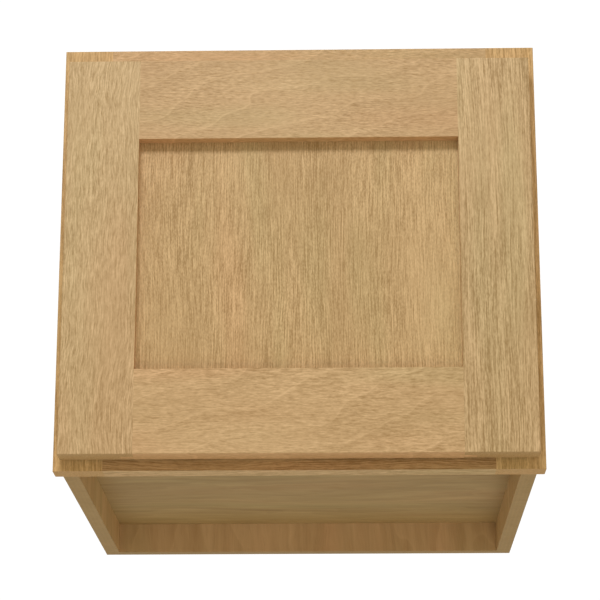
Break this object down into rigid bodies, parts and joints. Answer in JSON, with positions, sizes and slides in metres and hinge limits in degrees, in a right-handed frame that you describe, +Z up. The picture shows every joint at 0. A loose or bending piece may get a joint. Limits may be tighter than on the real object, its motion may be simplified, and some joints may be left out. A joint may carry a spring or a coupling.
{
  "type": "hanging wall cabinet",
  "caption": "Framed oak wall cabinet with a flat recessed-panel overlay door on concealed hinges and an open recess under its bottom panel",
  "frame": {"origin": "centre of the back's outer face, which is the centre of the four wall screw holes", "axes": "+X to the cabinet's right as seen from the front, +Y from the door towards the wall, +Z up"},
  "size_m": [0.381, 0.365, 0.351],
  "materials": {
    "door_oak": "clear satin, straight-grained light oak",
    "door_panel_oak": "clear satin, oak veneer with vertical grain",
    "frame_oak": "clear satin, light oak",
    "oak_plywood": "clear satin, veneered plywood with plain edges",
    "beech": "raw",
    "nickel_steel": "nickel plated",
    "zinc_steel": "zinc plated",
    "clear_rubber": "translucent soft bumper"
  },
  "bodies": {
    "cabinet": {"side_panel_left": "oak_plywood", "side_panel_right": "oak_plywood", "top_panel": "oak_plywood", "bottom_panel": "oak_plywood", "back_panel": "oak_plywood", "hanging_rail_top": "frame_oak", "hanging_rail_bottom": "frame_oak", "face_frame_stile_left": "frame_oak", "face_frame_stile_right": "frame_oak", "face_frame_rail_top": "frame_oak", "face_frame_rail_bottom": "frame_oak", "face_frame_dowels": "beech", "back_panel_nails": "zinc_steel", "hinge_plate_upper": "nickel_steel", "hinge_plate_lower": "nickel_steel", "hinge_plate_screws": "zinc_steel", "hinge_plate_pins": "zinc_steel"},
    "hinge_links": {"hinge_link_upper": "nickel_steel", "hinge_link_lower": "nickel_steel"},
    "door": {"door_stile_left": "door_oak", "door_stile_right": "door_oak", "door_rail_top": "door_oak", "door_rail_bottom": "door_oak", "door_panel": "door_panel_oak", "hinge_cup_upper": "nickel_steel", "hinge_cup_lower": "nickel_steel", "hinge_cup_screws": "zinc_steel", "hinge_cup_pins": "zinc_steel", "door_bumpers": "clear_rubber"}
  },
  "joints": [
    {"name": "hinge_link_swing", "type": "hinge", "parent": "cabinet", "child": "hinge_links", "pos_m": [-0.1433, -0.337, 0], "axis": [0, 0, 1], "range_deg": [0, 46.3]},
    {"name": "door_swing", "type": "hinge", "parent": "hinge_links", "child": "door", "pos_m": [-0.1708, -0.3505, 0], "axis": [0, 0, -1], "range_deg": [0, 151.2]}
  ],
  "couplings": [
    {"joint": "hinge_link_swing", "follows": "door_swing", "ratio": 0.30556}
  ]
}
